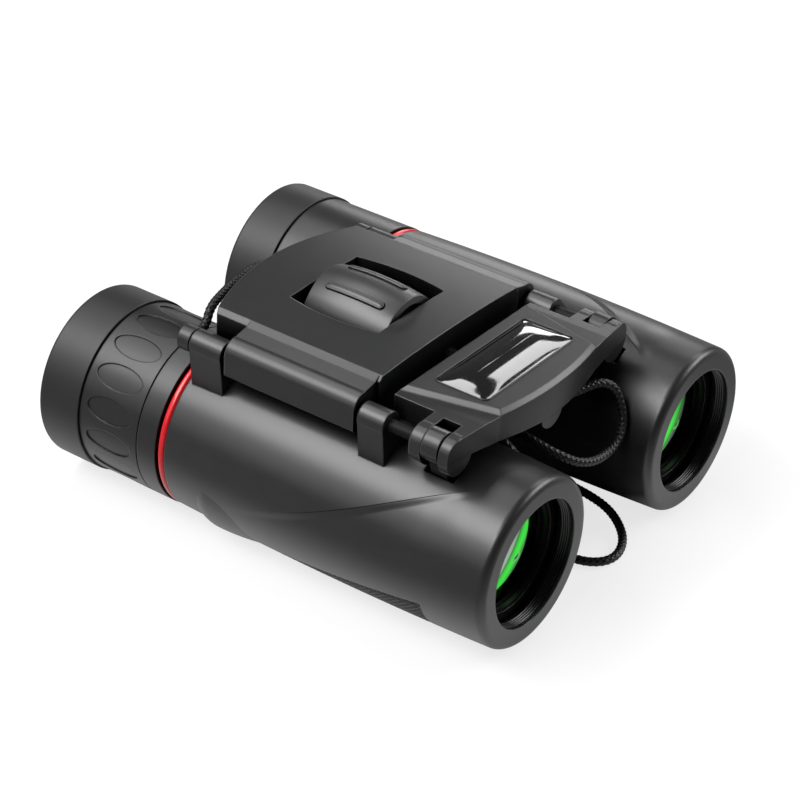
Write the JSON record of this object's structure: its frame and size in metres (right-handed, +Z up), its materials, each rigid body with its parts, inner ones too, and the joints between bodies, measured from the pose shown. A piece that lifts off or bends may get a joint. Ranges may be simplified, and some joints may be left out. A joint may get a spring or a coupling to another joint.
{
  "type": "compact folding binoculars",
  "caption": "Compact roof-prism binoculars with two barrels folding on a double-hinge bridge, central focus wheel, diopter ring, rubber eyecups and a corded wrist strap.",
  "frame": {"origin": "on the table under the middle of the two barrels, half way along their length", "axes": "+Z up, +Y towards the eyepieces, -Y towards the objectives, the user's right-hand barrel at -X"},
  "size_m": [0.0894, 0.1012, 0.0479],
  "materials": {
    "armour": "satin",
    "grip": "matte",
    "bridge": "satin",
    "ring": "gloss",
    "eyepiece": "satin",
    "eyecup": "matte",
    "inner": "matte",
    "coated_glass": "polished",
    "clear_glass": "polished",
    "pin": "satin",
    "wheel": "satin",
    "badge": "gloss",
    "steel": "brushed",
    "brass": "satin",
    "cord": "woven"
  },
  "bodies": {
    "bridge": {"bridge_cover": "bridge", "bridge_base": "bridge", "base_screws": "steel", "right_hinge_pin": "pin", "left_hinge_pin": "pin", "right_pin_cap": "bridge", "left_pin_cap": "bridge", "front_bush": "brass", "rear_bush": "brass", "strap_tether": "cord", "strap_crimp": "bridge", "strap_loop": "cord"},
    "focus_wheel": {"focus_wheel": "wheel", "wheel_core": "inner", "focus_spindle": "steel"},
    "front_bridge": {"front_bridge": "bridge", "badge": "badge", "focus_nut": "brass"},
    "right_barrel": {"right_housing": "armour", "right_grip_pad": "grip", "right_red_ring": "ring", "right_eyepiece_tube": "inner", "right_eyecup": "eyecup", "right_prism_holder": "inner", "right_prism_front": "clear_glass", "right_prism_rear": "clear_glass", "right_collar": "eyepiece"},
    "right_objective": {"right_objective_cell": "inner", "right_objective_crown": "coated_glass", "right_objective_flint": "clear_glass", "right_objective_retainer": "inner"},
    "diopter_ring": {"right_diopter_ring": "eyepiece"},
    "right_ocular": {"right_ocular_cell": "inner", "right_field_lens": "clear_glass", "right_eye_lens": "coated_glass"},
    "left_barrel": {"left_housing": "armour", "left_grip_pad": "grip", "left_red_ring": "ring", "left_eyepiece_tube": "inner", "left_eyecup": "eyecup", "left_prism_holder": "inner", "left_prism_front": "clear_glass", "left_prism_rear": "clear_glass", "left_sleeve": "eyepiece", "left_ocular_cell": "inner", "left_field_lens": "clear_glass", "left_eye_lens": "coated_glass"},
    "left_objective": {"left_objective_cell": "inner", "left_objective_crown": "coated_glass", "left_objective_flint": "clear_glass", "left_objective_retainer": "inner"}
  },
  "joints": [
    {"name": "right_fold", "type": "hinge", "parent": "bridge", "child": "right_barrel", "pos_m": [-0.0351, 0, 0.0394], "axis": [0, 1, 0], "range_deg": [0, 51]},
    {"name": "left_fold", "type": "hinge", "parent": "bridge", "child": "left_barrel", "pos_m": [0.01669, 0, 0.03836], "axis": [0, 1, 0], "range_deg": [-2.5, 44.5], "deforming": ["strap_loop"]},
    {"name": "focus", "type": "hinge", "parent": "bridge", "child": "focus_wheel", "pos_m": [-0.00921, 0, 0.03858], "axis": [0, 1, 0], "range_deg": [-180.1, 180.1]},
    {"name": "front_bridge_slide", "type": "slide", "parent": "bridge", "child": "front_bridge", "axis": [0, 1, 0], "range_m": [-0.0012, 0.0012]},
    {"name": "right_objective_slide", "type": "slide", "parent": "right_barrel", "child": "right_objective", "axis": [0, 1, 0], "range_m": [-0.0012, 0.0012]},
    {"name": "left_objective_slide", "type": "slide", "parent": "left_barrel", "child": "left_objective", "axis": [0, 1, 0], "range_m": [-0.0012, 0.0012]},
    {"name": "diopter", "type": "hinge", "parent": "right_barrel", "child": "diopter_ring", "pos_m": [-0.02712, 0.034, 0.0173], "axis": [0, 1, 0], "range_deg": [-60.1, 60.1]},
    {"name": "right_ocular_slide", "type": "slide", "parent": "right_barrel", "child": "right_ocular", "axis": [0, 1, 0], "range_m": [-0.001, 0.001]}
  ],
  "couplings": [
    {"joint": "focus", "follows": "front_bridge_slide", "rad_per_m": 2618},
    {"joint": "right_objective_slide", "follows": "front_bridge_slide", "ratio": 1},
    {"joint": "left_objective_slide", "follows": "front_bridge_slide", "ratio": 1},
    {"joint": "diopter", "follows": "right_ocular_slide", "rad_per_m": 1047.2}
  ]
}
